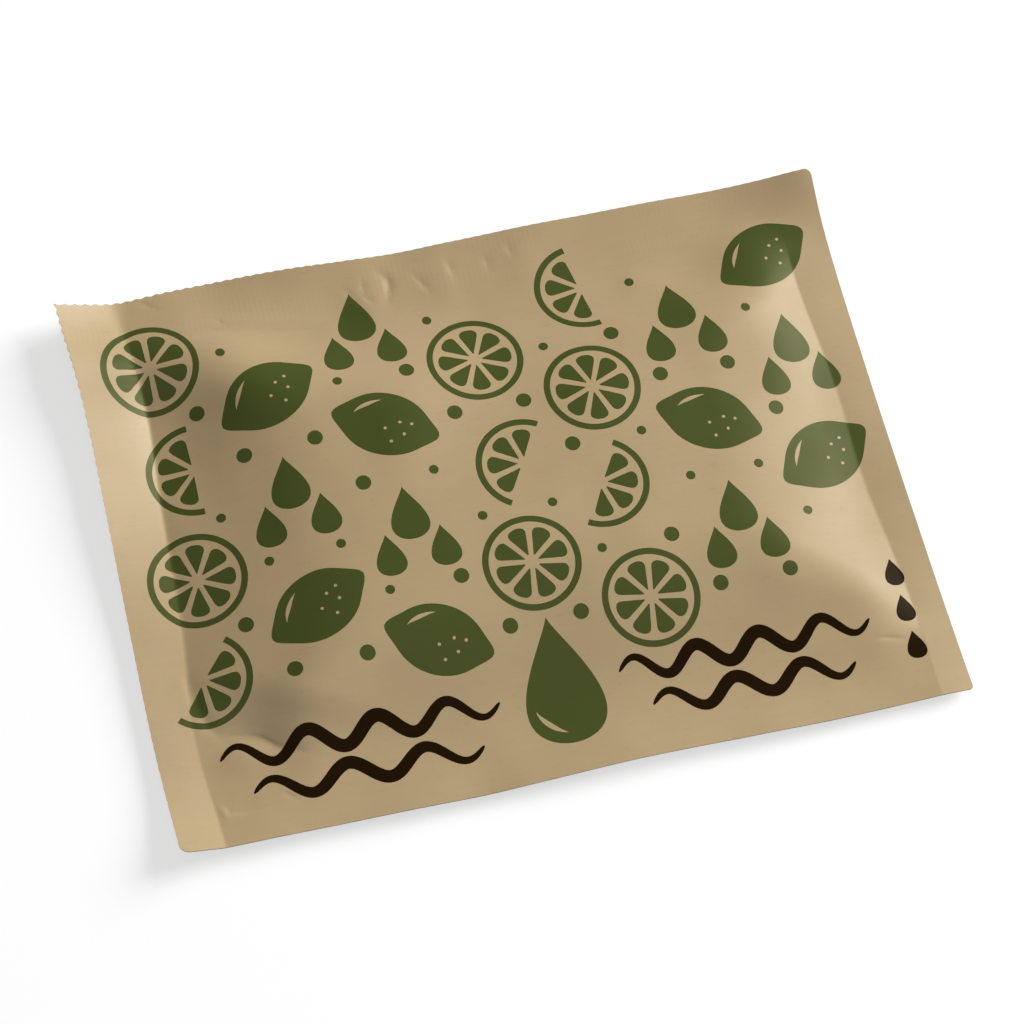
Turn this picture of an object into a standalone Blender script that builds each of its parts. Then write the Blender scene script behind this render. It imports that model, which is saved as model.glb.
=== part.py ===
"""Sachet that holds one folded, moist towelette.

Two plies of paper-faced film are heat-sealed to each other along all four sides, and the
folded wipe fills the pouch between them. Lengths are in metres, and those in lists are in
millimetres. X runs along the long side, Y along the short side and Z up. The origin is on the
table, under the middle of the sachet.
"""
import math

import bmesh
import bpy
from mathutils import Vector
from mathutils.geometry import delaunay_2d_cdt

MM = 0.001

# Overall sizes, and the thickness of one ply
LENGTH = 80.0 * MM
WIDTH = 60.0 * MM
FILM = 0.10 * MM

# Seal bands, measured inwards from the cut edges. The left one's width is given at evenly
# spaced points from the bottom to the top.
LEFT_SEAL_WIDTHS = [4.3, 3.7, 4.8, 5.4, 6.1, 5.3]
RIGHT_SEAL = 3.7 * MM
TOP_SEAL = 5.6 * MM
BOTTOM_SEAL = 5.0 * MM

# The filled pouch: how far the seals lie above the table and the front above the seals, how
# much further it rises at the left end than in the middle, and its crown
SEAL_LIFT = 0.75 * MM
FRONT_RISE = 2.50 * MM
LEAN = 0.50 * MM
CROWN = 0.15 * MM

# Widths of the slopes that climb from the seals, at evenly spaced points from the bottom to
# the top or from the left to the right
LEFT_SLOPES = [12.0, 15.0, 20.0, 20.0, 18.0, 12.0, 10.0]
RIGHT_SLOPES = [11.0, 13.5, 15.5, 16.0, 13.0, 12.0, 8.0]
TOP_SLOPES = [8.0, 9.0, 14.0, 17.0, 13.0, 4.5]
BOTTOM_SLOPES = [7.0, 9.0, 14.0, 17.0, 20.0, 20.0, 18.0, 12.0, 4.0]

# Shares of a slope's width over which it starts and ends, and how much sooner the back film
# reaches the table than the front film reaches its full height
SIDE_FOOT = 0.04
LEFT_SHOULDER = 0.40
RIGHT_SHOULDER = 0.80
END_FOOT = 0.35
END_SHOULDER = 0.40
BACK_FLATTENING = 1.3

# How high the seals' outer edges stand above their inner edges, at evenly spaced points from
# the bottom to the top or from the left to the right, and how far in the lift of the bottom
# and top edges reaches
LEFT_LIFTS = [1.20, 0.60, 0.90, 1.75, 2.05, 2.05]
RIGHT_LIFTS = [-0.20, -0.40, 0.10, -0.05, -0.35, 0.55]
BOTTOM_LIFTS = [1.3, 1.15, 0.95, 0.8, 0.75, 0.7, 0.55, 0.8, 0.95, 1.0, 0.9, 0.75, 0.8, 0.6, 0.5,
                0.4, 0.35]
TOP_LIFTS = [0.1, 0.0, -0.05, -0.05, 0.3, 0.65, 0.62, 0.4, 0.62, 0.75, 0.84, 0.76, 0.76, 0.76,
             0.68, 0.85, 1.25]
LIFT_FADE = 9.0 * MM

# How far the inner edges of the left and right seals stand above the other seals, and how
# much the right seal arches
LEFT_STEP = -0.10 * MM
RIGHT_STEP = 0.30 * MM
RIGHT_ARCH = 0.07 * MM

# Zigzag cut on the left and top edges, deepest at their shared corner
TOOTH_PITCH = 1.05 * MM
TOOTH_BITE = 0.30 * MM
WORN_BITE = 0.10 * MM
TOP_FADE = 26.0 * MM
LEFT_FADE = 13.0 * MM

# How far each cut edge stands out from (+) or is drawn in behind (-) its straight line, at six
# evenly spaced points going anticlockwise
BOTTOM_BOW = [0.00, -0.01, 0.09, -0.19, -0.01, -0.20]
RIGHT_BOW = [0.40, 0.17, -0.06, -0.07, 0.03, 0.20]
TOP_BOW = [-0.04, 0.07, -0.07, -0.23, 0.40, -0.19]
LEFT_BOW = [0.90, 0.15, 0.20, 0.35, 0.45, 0.15]
EDGE_BOWS = [BOTTOM_BOW, RIGHT_BOW, TOP_BOW, LEFT_BOW]
TOP_EDGE = 2
LEFT_EDGE = 3

# Corner radii in the same order: bottom left, bottom right, top right, top left
CORNER_RADII = [1.0 * MM, 0.4 * MM, 0.8 * MM, 0.0]
CORNER_STEPS = 4

# Corners that forms are measured from, in millimetres to the right and up
BOTTOM_LEFT = (-1, -1)
BOTTOM_RIGHT = (1, -1)
TOP_RIGHT = (1, 1)
TOP_LEFT = (-1, 1)

# The bottom left corner of the pouch is pressed flat past a line between two places
POCKET_LINE = (BOTTOM_LEFT, (4.5, 13.4), (14.0, 7.8))
POCKET_SLOPE = 6.5 * MM

# Swellings (+) and hollows (-): the corner, the middle, the height, and the spread to the
# left, right, below and above
SWELLS = [
    (TOP_LEFT, (8.5, -6.0), 1.10, 10.0, 10.5, 4.2, 7.0),
    (TOP_LEFT, (9.5, -15.0), -0.40, 3.5, 4.5, 9.0, 4.0),
    (TOP_LEFT, (29.8, -23.0), 0.22, 3.0, 4.5, 5.0, 6.0),
    (TOP_RIGHT, (-9.5, -8.0), 0.20, 4.0, 3.5, 2.5, 3.0),
    (BOTTOM_RIGHT, (-33.0, 16.0), 0.40, 6.0, 15.0, 9.0, 7.0),
    (BOTTOM_LEFT, (15.3, 9.0), 0.25, 2.2, 3.5, 3.0, 3.5),
]

# Folds: the corner, a path of places, the height, and the spread to the left and to the right
# of someone who walks along the path. At its ends a fold has a share of its height.
FOLD_END = 0.35
FOLDS = [
    (BOTTOM_LEFT, [(5.6, 12.3), (8.0, 11.6), (9.8, 10.6), (12.0, 9.0), (15.5, 7.0)], -0.16, 1.2, 3.0),
    (BOTTOM_RIGHT, [(-14.0, 18.0), (-8.2, 11.0), (-6.0, 7.4)], 0.10, 2.6, 4.0),
    (TOP_RIGHT, [(-21.0, -6.5), (-21.5, -10.5)], 0.12, 3.0, 1.6),
    (TOP_LEFT, [(40.5, -12.0), (41.0, -20.0), (40.0, -27.0)], -0.50, 7.0, 6.5),
    (TOP_LEFT, [(30.8, -1.0), (31.2, -9.5)], 0.10, 1.6, 1.8),
    (TOP_LEFT, [(39.0, -0.5), (39.4, -9.0)], 0.09, 1.4, 1.9),
    (TOP_LEFT, [(47.6, -0.5), (47.8, -8.0)], 0.07, 1.8, 2.2),
]

# Spacing of the mesh's points on the film, and the least distance from them to a cut edge
# or to a seal's inner edge
MESH_STEP = 1.45 * MM
MESH_CLEARANCE = 0.55 * MM

# What the triangulation is asked for: only what is inside the outline, and how near to each
# other two points count as one
INSIDE_ONLY = 1
SAME_POINT = 1e-7

KRAFT_COLOUR = (0.445, 0.328, 0.178, 1.0)
FILM_ROUGHNESS = 0.39


# Places and curves

def place_at(corner, right, up):
    """The point that is so many millimetres right of and above a corner."""
    side_x, side_y = corner
    return Vector((side_x * LENGTH / 2 + right * MM, side_y * WIDTH / 2 + up * MM))


def smooth_value(values, t):
    """Value at t, from 0 to 1, on a smooth curve through evenly spaced values."""
    place = min(max(t, 0.0), 1.0) * (len(values) - 1)
    i = min(int(place), len(values) - 2)
    s = place - i
    slope_in = (values[i + 1] - values[max(i - 1, 0)]) / 2
    slope_out = (values[min(i + 2, len(values) - 1)] - values[i]) / 2
    return (values[i] * (2 * s ** 3 - 3 * s ** 2 + 1)
            + slope_in * (s ** 3 - 2 * s ** 2 + s)
            + values[i + 1] * (3 * s ** 2 - 2 * s ** 3)
            + slope_out * (s ** 3 - s ** 2))


def left_seal_width(y):
    """Width of the left seal at a height of the picture."""
    return smooth_value(LEFT_SEAL_WIDTHS, y / WIDTH + 0.5) * MM


# Outline

def tooth_bite(from_corner, fade):
    """Depth of the zigzag cut at a distance from the top left corner."""
    return WORN_BITE + (TOOTH_BITE - WORN_BITE) * math.exp(-(from_corner / fade) ** 2)


def edge_points(edge):
    """Points of one cut edge, anticlockwise, from one corner's arc to the next."""
    corners = [place_at(corner, 0, 0) for corner in (BOTTOM_LEFT, BOTTOM_RIGHT, TOP_RIGHT, TOP_LEFT)]
    following = (edge + 1) % 4
    run = corners[following] - corners[edge]
    along = run.normalized()
    outwards = Vector((along.y, -along.x))
    first = CORNER_RADII[edge] - EDGE_BOWS[edge - 1][-1] * MM
    last = run.length + EDGE_BOWS[following][0] * MM - CORNER_RADII[following]
    toothed = edge in (TOP_EDGE, LEFT_EDGE)
    step_length = TOOTH_PITCH / 2 if toothed else MESH_STEP
    steps = 2 * max(1, round((last - first) / step_length / 2))
    points = []
    for step in range(steps + 1):
        place = first + (last - first) * step / steps
        stand = smooth_value(EDGE_BOWS[edge], place / run.length) * MM
        if edge == TOP_EDGE and step % 2 == 1:
            stand -= tooth_bite(run.length - place, TOP_FADE)
        if edge == LEFT_EDGE and step % 2 == 1:
            stand -= tooth_bite(place, LEFT_FADE)
        points.append(corners[edge] + along * place + outwards * stand)
    return points


def arc_points(start, end, radius):
    """Points between the ends of two edges, on the quarter arc that joins them."""
    if radius == 0:
        return []
    chord = end - start
    centre = (start + end) / 2 + Vector((-chord.y, chord.x)) / 2
    points = []
    for step in range(1, CORNER_STEPS):
        turn = math.radians(90) * step / CORNER_STEPS
        arm = start - centre
        points.append(centre + Vector((arm.x * math.cos(turn) - arm.y * math.sin(turn),
                                       arm.x * math.sin(turn) + arm.y * math.cos(turn))))
    return points


def cut_outline():
    """The sachet's outline in plan, anticlockwise from the end of its left edge."""
    edges = [edge_points(edge) for edge in range(4)]
    outline = []
    for edge in range(4):
        start = edges[edge - 1][-1]
        outline += arc_points(start, edges[edge][0], CORNER_RADII[edge])
        outline += edges[edge] if CORNER_RADII[edge] > 0 else edges[edge][1:]
    return outline


def seal_outline():
    """The seals' inner edge, anticlockwise from its bottom left corner."""
    low = -WIDTH / 2 + BOTTOM_SEAL
    high = WIDTH / 2 - TOP_SEAL
    right = LENGTH / 2 - RIGHT_SEAL
    steps = round((high - low) / MESH_STEP)
    left = []
    for step in range(steps + 1):
        y = high + (low - high) * step / steps
        left.append(Vector((-LENGTH / 2 + left_seal_width(y), y)))
    corners = [left[-1], Vector((right, low)), Vector((right, high)), left[0]]
    points = left[1:-1]
    for start, end in zip(corners, corners[1:]):
        count = round((end - start).length / MESH_STEP)
        points += [start.lerp(end, i / count) for i in range(count)]
    return points + [left[0]]


# Relief

def climb(t, foot, shoulder):
    """Share of its height that a slope has reached after a share t of its width."""
    t = min(max(t, 0.0), 1.0)
    steepness = 1 / (1 - foot / 2 - shoulder / 2)
    if t < foot:
        return steepness * t ** 2 / (2 * foot)
    if t < 1 - shoulder:
        return steepness * (t - foot / 2)
    return 1 - steepness * (1 - t) ** 2 / (2 * shoulder)


def fullness(x, y):
    """How full the pouch is at a point: 0 on the seals and 1 over the wipe."""
    along_x = x / LENGTH + 0.5
    along_y = y / WIDTH + 0.5
    from_left = x + LENGTH / 2 - left_seal_width(y)
    from_right = LENGTH / 2 - RIGHT_SEAL - x
    from_top = WIDTH / 2 - TOP_SEAL - y
    from_bottom = y + WIDTH / 2 - BOTTOM_SEAL
    corner, *ends = POCKET_LINE
    start, end = [place_at(corner, *place) for place in ends]
    run = (end - start).normalized()
    from_pocket = run.x * (y - start.y) - run.y * (x - start.x)
    return (climb(from_left / (smooth_value(LEFT_SLOPES, along_y) * MM), SIDE_FOOT, LEFT_SHOULDER)
            * climb(from_right / (smooth_value(RIGHT_SLOPES, along_y) * MM), SIDE_FOOT, RIGHT_SHOULDER)
            * climb(from_top / (smooth_value(TOP_SLOPES, along_x) * MM), END_FOOT, END_SHOULDER)
            * climb(from_bottom / (smooth_value(BOTTOM_SLOPES, along_x) * MM), END_FOOT, END_SHOULDER)
            * climb(from_pocket / POCKET_SLOPE, SIDE_FOOT, END_SHOULDER))


def near_edge(distance):
    """A share that falls smoothly from 1 at an edge to 0 where its lift ends."""
    return min(max(1 - max(distance, 0.0) / LIFT_FADE, 0.0), 1.0) ** 2


def seal_height(x, y):
    """Height of the plane between the two plies, carried on through the pouch."""
    along_x = x / LENGTH + 0.5
    along_y = y / WIDTH + 0.5
    from_left = x + LENGTH / 2
    from_right = LENGTH / 2 - x
    across_left = min(max(from_left / left_seal_width(y), 0.0), 1.0)
    across_right = min(max(from_right / RIGHT_SEAL, 0.0), 1.0)
    return (SEAL_LIFT
            + LEFT_STEP * near_edge(from_left - left_seal_width(y))
            + RIGHT_STEP * near_edge(from_right - RIGHT_SEAL)
            + smooth_value(LEFT_LIFTS, along_y) * MM * (1 - across_left)
            + smooth_value(RIGHT_LIFTS, along_y) * MM * (1 - across_right)
            + smooth_value(BOTTOM_LIFTS, along_x) * MM * near_edge(y + WIDTH / 2)
            + smooth_value(TOP_LIFTS, along_x) * MM * near_edge(WIDTH / 2 - y)
            + RIGHT_ARCH * math.sin(math.pi * across_right))


def fold(point, path, spread_left, spread_right):
    """A soft fold: 1 along the middle of a path, and 0 beside it and past its ends."""
    lengths = [(b - a).length for a, b in zip(path, path[1:])]
    course = (path[-1] - path[0]).normalized()
    nearest = Vector((math.inf, 0.0))
    along = 0.0
    covered = 0.0
    for a, b, length in zip(path, path[1:], lengths):
        run = (b - a) / length
        t = min(max((point - a).dot(run), 0.0), length)
        off = point - a - run * t
        if off.length < nearest.length:
            nearest = off
            along = (covered + t) / sum(lengths)
        covered += length
    side = nearest.normalized()
    leftness = (course.x * side.y - course.y * side.x) / 2 + 0.5
    spread = spread_right + (spread_left - spread_right) * leftness
    return (math.exp(-(nearest.length / spread) ** 2)
            * (FOLD_END + (1 - FOLD_END) * math.sin(math.pi * along) ** 2))


def swell(point, middle, left, right, below, above):
    """A round swelling that is 1 at its middle and spreads its own way to each side."""
    across = (point.x - middle.x) / (left if point.x < middle.x else right)
    upwards = (point.y - middle.y) / (below if point.y < middle.y else above)
    return math.exp(-across ** 2 - upwards ** 2)


def plies_height(x, y):
    """Height between the two plies, with the swellings and the folds."""
    point = Vector((x, y))
    height = seal_height(x, y)
    for corner, middle, rise, *spreads in SWELLS:
        spreads = [spread * MM for spread in spreads]
        height += rise * MM * swell(point, place_at(corner, *middle), *spreads)
    for corner, places, rise, *spreads in FOLDS:
        path = [place_at(corner, *place) for place in places]
        spreads = [spread * MM for spread in spreads]
        height += rise * MM * fold(point, path, *spreads)
    return height


def film_heights(x, y):
    """Heights of the front film's face and the back film's face at a point."""
    full = fullness(x, y)
    plies = plies_height(x, y)
    crown = CROWN * (1 - (2 * x / LENGTH) ** 2) * (1 - (2 * y / WIDTH) ** 2)
    rise = FRONT_RISE - LEAN * 2 * x / LENGTH + crown
    back = max(plies - FILM, 0.0) * (1 - min(full * BACK_FLATTENING, 1.0))
    front = max(plies + FILM + rise * full, back + 2 * FILM)
    return front, back


# Mesh

def distance_to_loop(point, loop):
    """Distance from a point to a closed line of straight runs."""
    nearest = math.inf
    for start, end in zip(loop, loop[1:] + loop[:1]):
        run = end - start
        t = min(max((point - start).dot(run) / run.length_squared, 0.0), 1.0)
        nearest = min(nearest, (point - start - run * t).length)
    return nearest


def is_inside(point, loop):
    """Whether a point is inside a closed line."""
    inside = False
    for start, end in zip(loop, loop[1:] + loop[:1]):
        if (start.y > point.y) != (end.y > point.y):
            cross_x = start.x + (point.y - start.y) / (end.y - start.y) * (end.x - start.x)
            inside ^= point.x < cross_x
    return inside


def plan_mesh(outline):
    """Triangles of the sachet in plan, with edges along the outline and the seals."""
    seal_line = seal_outline()
    row_step = MESH_STEP * math.sqrt(3) / 2
    rows = math.ceil(WIDTH / row_step / 2) + 1
    columns = math.ceil(LENGTH / MESH_STEP / 2) + 1
    field = []
    for row in range(-rows, rows + 1):
        for column in range(-columns, columns + 1):
            point = Vector(((column + row % 2 / 2) * MESH_STEP, row * row_step))
            if (is_inside(point, outline)
                    and distance_to_loop(point, outline) > MESH_CLEARANCE
                    and distance_to_loop(point, seal_line) > MESH_CLEARANCE):
                field.append(point)
    points = outline + seal_line + field
    first_seal = len(outline)
    edges = [(first_seal + i, first_seal + (i + 1) % len(seal_line))
             for i in range(len(seal_line))]
    face = [list(range(len(outline)))]
    plan, _, triangles, _, _, _ = delaunay_2d_cdt(points, edges, face, INSIDE_ONLY, SAME_POINT)
    return plan, triangles


def make_sachet():
    """The whole sachet as one closed solid, centred over the origin."""
    outline = cut_outline()
    middle = Vector([(min(values) + max(values)) / 2 for values in zip(*outline)])
    plan, triangles = plan_mesh(outline)
    bm = bmesh.new()
    front = []
    back = []
    for point in plan:
        front_height, back_height = film_heights(point.x, point.y)
        front.append(bm.verts.new((*(point - middle), front_height)))
        back.append(bm.verts.new((*(point - middle), back_height)))
    for a, b, c in triangles:
        bm.faces.new((front[a], front[b], front[c]))
        bm.faces.new((back[c], back[b], back[a]))
    sides = [(a, b) for corners in triangles for a, b in zip(corners, corners[1:] + corners[:1])]
    known = set(sides)
    for a, b in sides:
        if (b, a) not in known:
            bm.faces.new((front[b], front[a], back[a], back[b]))
    mesh = bpy.data.meshes.new("sachet")
    bm.to_mesh(mesh)
    bm.free()
    return mesh


def kraft_film():
    """Brown paper face under a satin coat."""
    material = bpy.data.materials.new("kraft_film")
    material.use_nodes = True
    shader = material.node_tree.nodes["Principled BSDF"]
    shader.inputs["Base Color"].default_value = KRAFT_COLOUR
    shader.inputs["Roughness"].default_value = FILM_ROUGHNESS
    shader.inputs["Metallic"].default_value = 0.0
    return material


def main():
    for old in list(bpy.data.objects):
        bpy.data.objects.remove(old)
    mesh = make_sachet()
    mesh.materials.append(kraft_film())
    mesh.shade_smooth()
    bpy.context.scene.collection.objects.link(bpy.data.objects.new("sachet", mesh))


main()
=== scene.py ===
"""Looks of the wet wipe sachet: printed, paper-faced film sealed round a folded wipe."""
import math

import bpy
import numpy as np
from mathutils import Matrix, Vector
from mathutils.geometry import delaunay_2d_cdt


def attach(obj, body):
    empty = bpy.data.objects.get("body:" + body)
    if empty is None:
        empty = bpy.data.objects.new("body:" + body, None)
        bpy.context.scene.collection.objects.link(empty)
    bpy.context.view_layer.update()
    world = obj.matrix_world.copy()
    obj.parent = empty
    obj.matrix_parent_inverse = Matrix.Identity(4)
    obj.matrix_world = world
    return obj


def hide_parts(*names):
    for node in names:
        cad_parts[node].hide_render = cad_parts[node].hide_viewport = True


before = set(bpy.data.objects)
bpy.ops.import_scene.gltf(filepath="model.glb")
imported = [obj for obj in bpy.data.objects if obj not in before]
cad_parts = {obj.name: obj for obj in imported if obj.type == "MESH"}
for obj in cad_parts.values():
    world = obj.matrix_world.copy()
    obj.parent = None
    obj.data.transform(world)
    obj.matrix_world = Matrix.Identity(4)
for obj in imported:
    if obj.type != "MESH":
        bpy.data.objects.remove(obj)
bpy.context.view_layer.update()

# The film is worked out in millimetres from the middle of its 80 x 60 mm rectangle, with x to
# the right, y to the top and z up, and is turned into metres when its mesh is made. Places
# read from the photograph are given as distances right and down from the top left corner.
MM = 0.001
LENGTH = 80.0
WIDTH = 60.0
FILM = 0.10

# Widths of the seals, the side ones' at evenly spaced points from the bottom to the top
LEFT_SEAL_WIDTHS = [4.3, 3.7, 4.8, 5.4, 6.1, 5.3]
RIGHT_SEAL_WIDTHS = [3.0, 2.9, 3.75, 3.65, 4.3, 3.9]
TOP_SEAL = 5.6
BOTTOM_SEAL = 5.0

# Heights: of the seals, of the front film over the wipe above them, how much higher than that it
# is at the left end and lower at the right end, and how much higher in the middle
SEAL_LIFT = 0.75
FRONT_RISE = 2.50
LEAN = 0.50
CROWN = 0.15

# The pouch: the film climbs from each seal over a slope, whose width is given at evenly
# spaced points from the bottom to the top or from the left to the right. A slope starts over
# its foot and ends over its shoulder, which are shares of its width.
LEFT_SLOPES = [12.0, 15.0, 20.0, 20.0, 18.0, 12.0, 10.0]
RIGHT_SLOPES = [11.0, 13.5, 15.5, 16.0, 13.0, 12.0, 8.0]
TOP_SLOPES = [8.0, 9.0, 14.0, 17.0, 13.0, 4.5]
BOTTOM_SLOPES = [7.0, 9.0, 14.0, 17.0, 20.0, 20.0, 18.0, 12.0, 4.0]
SIDE_FOOT = 0.02
LEFT_SHOULDER = 0.40
RIGHT_SHOULDER = 0.80
END_FOOT = 0.35
END_SHOULDER = 0.40

# How many times faster the back film comes down to the table than the front film climbs
BACK_FLATTENING = 1.3

# How far the inner edges of the left and right seals stand above the other seals
LEFT_STEP = -0.10
RIGHT_STEP = 0.30

# How high the seals' outer edges stand above the seals' inner edges, at evenly spaced points:
# along the left side and the right side from the bottom to the top, and along the bottom and
# top sides from the left to the right
LEFT_LIFTS = [1.20, 0.60, 0.90, 1.75, 2.20, 2.45]
RIGHT_LIFTS = [-0.20, -0.05, 0.15, 0.00, -0.10, 0.32]
BOTTOM_LIFTS = [1.3, 1.15, 0.95, 0.8, 0.75, 0.7, 0.55, 0.8, 0.95, 1.0, 0.9, 0.75, 0.8, 0.6, 0.5,
                0.4, 0.35]
TOP_LIFTS = [0.1, 0.0, -0.05, -0.05, 0.3, 0.65, 0.62, 0.4, 0.62, 0.75, 0.84, 0.76, 0.76, 0.76,
             0.68, 0.85, 1.25]
LIFT_FADE = 9.0

# How softly the left seal bends up from the pouch, as a share of its width, along the side and at
# the top edge, and how far from that edge the softer bend fades
SIDE_BEND = 0.02
TOP_BEND = 0.24
BEND_FADE = 8.0

# The bottom left corner of the pouch is flattened past a line between two places, from which
# the film climbs over a slope of this width
CORNER_LINE = ((4.5, 47.2), (14.0, 52.2))
CORNER_SLOPE = 6.5

# How far the right seal arches up between its edges
RIGHT_ARCH = 0.02

# Zigzag cut of the top and left edges: its pitch, its depth at the top left corner and where it
# is worn, and how far from that corner the depth fades along each edge
TOOTH_PITCH = 1.05
TOOTH_BITE = 0.18
WORN_BITE = 0.03
TOP_FADE = 26.0
LEFT_FADE = 13.0

# How far each cut edge stands out from (+) or is drawn in behind (-) its straight line, at six
# evenly spaced points going anticlockwise: bottom, right, top, left
EDGE_BOWS = [
    [0.00, -0.01, 0.09, -0.19, -0.01, -0.20],
    [0.40, 0.17, -0.06, -0.07, 0.03, 0.20],
    [-0.04, 0.07, -0.07, -0.23, 0.40, -0.19],
    [0.90, 0.15, 0.20, 0.35, 0.45, 0.15],
]
TOP_EDGE = 2
LEFT_EDGE = 3

# Radii of the corners, anticlockwise from the bottom left one, and the steps in each one's arc
CORNER_RADII = [1.0, 0.4, 0.8, 0.0]
CORNER_STEPS = 8

# Folds in the film: a path of places, its height, and how far it spreads to the left and
# to the right of someone who walks along it. At its ends it has this share of its height.
FOLD_END = 0.35
FOLDS = [
    # beside the crease that closes the pocket in the bottom left corner
    ([(5.6, 47.7), (8.0, 48.4), (9.8, 49.4), (12.0, 51.0), (15.5, 53.0)], -0.16, 1.2, 3.0),
    # ridge that runs into the bottom right corner
    ([(66.0, 42.0), (71.8, 49.0), (74.0, 52.6)], 0.10, 2.6, 4.0),
    # hollow in the folded wipe
    ([(40.5, 12.0), (41.0, 20.0), (40.0, 27.0)], -0.50, 7.0, 6.5),
    # gathers under the top seal
    ([(30.8, 1.0), (31.2, 9.5)], 0.10, 1.6, 1.8),
    ([(39.0, 0.5), (39.4, 9.0)], 0.09, 1.4, 1.9),
    ([(47.6, 0.5), (47.8, 8.0)], 0.07, 1.8, 2.2),
    ([(59.0, 6.5), (58.5, 10.5)], 0.12, 3.0, 1.6),
    ([(45.5, 15.9), (48.3, 15.3), (51.5, 15.2)], 0.06, 1.8, 0.45),
]

# Fine creases, given as the folds are. The mesh has rows of points along and beside them.
CREASES = [
    # edges of the flattened pocket in the bottom left corner
    ([(4.2, 42.0), (4.5, 44.5), (5.0, 46.6), (5.7, 48.0), (6.6, 49.2)], -0.12, 0.70, 0.50),
    ([(7.3, 48.6), (9.1, 49.1), (10.4, 49.8), (11.6, 50.9), (13.6, 51.8)], -0.11, 0.28, 0.55),
    # edges of the puffed corner at the top left
    ([(5.0, 5.6), (6.1, 7.8), (6.9, 9.6), (7.0, 12.0)], -0.08, 1.60, 1.80),
    ([(10.2, 5.8), (13.6, 5.7), (16.4, 6.0), (20.0, 6.6), (24.0, 7.4)], -0.24, 0.90, 2.40),
    # puckers along the top seal
    ([(32.7, 2.1), (33.5, 3.3), (33.0, 5.3)], -0.12, 0.50, 0.42),
    ([(30.8, 2.6), (30.6, 4.4)], -0.07, 0.60, 0.34),
    ([(28.7, 3.3), (29.4, 4.2), (29.9, 5.3)], -0.05, 0.40, 0.28),
    ([(30.3, 4.3), (30.9, 4.8), (31.5, 5.6)], -0.05, 0.50, 0.28),
    ([(36.1, 3.0), (36.9, 4.2), (37.4, 5.4)], -0.06, 0.50, 0.28),
    ([(39.9, 1.9), (40.4, 4.1)], -0.06, 0.60, 0.36),
    ([(43.9, 2.3), (44.2, 4.2)], -0.05, 0.60, 0.36),
    ([(46.5, 1.4), (46.9, 3.2)], -0.05, 0.60, 0.36),
    # crease across the front, right of the middle
    ([(46.5, 15.7), (48.5, 15.2), (51.5, 15.2), (54.6, 15.4)], -0.06, 0.22, 0.50),
    # small creases near the corners
    ([(72.2, 52.6), (75.2, 53.2)], -0.06, 0.20, 0.30),
    ([(7.8, 0.3), (8.6, 1.0), (9.5, 1.6)], -0.05, 0.25, 0.40),
    ([(15.0, 4.2), (15.8, 4.8)], -0.05, 0.22, 0.30),
    ([(10.8, 55.5), (12.2, 56.4)], -0.06, 0.22, 0.30),
    ([(4.6, 55.4), (5.0, 57.0)], 0.07, 0.30, 0.28),
    ([(5.2, 55.8), (5.8, 56.4), (7.2, 56.7), (9.5, 56.6)], -0.08, 1.40, 0.30),
]
CREASE_STEP = 0.70

# Swellings and hollows: the middle, the height, and the spread to the left, right, below and above
SWELLS = [
    # puffed corner at the top left, and the hollow beside the wipe under it
    ((10.0, 7.6), 0.85, 16.0, 9.8, 4.0, 4.8),
    ((14.5, 6.9), 0.75, 9.0, 6.5, 3.0, 2.4),
    ((9.5, 15.0), -0.40, 3.5, 4.5, 9.0, 4.0),
    # beside the pocket in the bottom left corner
    ((14.5, 51.2), 0.46, 3.3, 4.0, 3.4, 3.5),
    ((8.0, 51.2), 0.22, 2.2, 2.6, 1.6, 2.0),
    # the folded wipe showing through
    ((29.8, 23.0), 0.22, 3.0, 4.5, 5.0, 6.0),
    ((47.0, 44.0), 0.40, 6.0, 15.0, 9.0, 7.0),
    # head of the right slope, the hollow beside it, and its foot
    ((70.8, 7.4), 0.55, 4.2, 4.0, 3.4, 2.6),
    ((64.8, 20.5), -0.34, 9.0, 5.5, 6.0, 6.0),
    ((71.6, 52.8), 0.48, 10.0, 4.6, 3.0, 3.0),
    # rise to the top right corner
    ((78.5, 0.5), 0.40, 7.0, 3.0, 3.2, 3.0),
]

# Slight waves all over the film: their number, lengths and steepness, and the seed of their draws
CRINKLE_WAVES = 26
CRINKLE_LENGTHS = (4.5, 15.0)
CRINKLE_STEEPNESS = 0.0032
CRINKLE_SEED = 11

# Spacing of the mesh's points on the cut edges, the front and the back, and the least distance
# from them to a line of the outline or the print. Rows of points run along a crease: their
# spacing, their distances from it, and how far the other points stay from it. Then the places
# that give a side seal's inner edge, and the rows of the lattice past the rectangle.
EDGE_STEP = 0.35
FIELD_STEP = 0.36
BACK_STEP = 0.62
LINE_CLEARANCE = 0.12
ROW_SPACING = 0.22
ROW_OFFSETS = (-0.45, -0.27, -0.12, 0.0, 0.12, 0.27, 0.45)
ROW_CLEARANCE = 0.62
SEAM_PLACES = 13
LATTICE_MARGIN = 2

# Delaunay triangulation that keeps only what is inside its faces, and the distance at which two
# of its points are one
INSIDE_ONLY = 1
SAME_POINT = 1e-5

# Decimal places to which a rim point of the front and its fellow on the back agree, the least
# distance that is divided by, and the angle in degrees past which an edge of the mesh looks sharp
RIM_DIGITS = 4
LEAST_DISTANCE = 1e-9
SHARP_ANGLE = 50

# Surfaces, in the order of the mesh's material slots, and their colours as they look on screen
KRAFT = 0
GREEN = 1
BROWN = 2
CUT_EDGE = 3
KRAFT_COLOUR = (178, 155, 117)
GREEN_COLOUR = (68, 77, 33)
BROWN_COLOUR = (30, 16, 4)
CUT_EDGE_COLOUR = (205, 188, 156)

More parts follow.
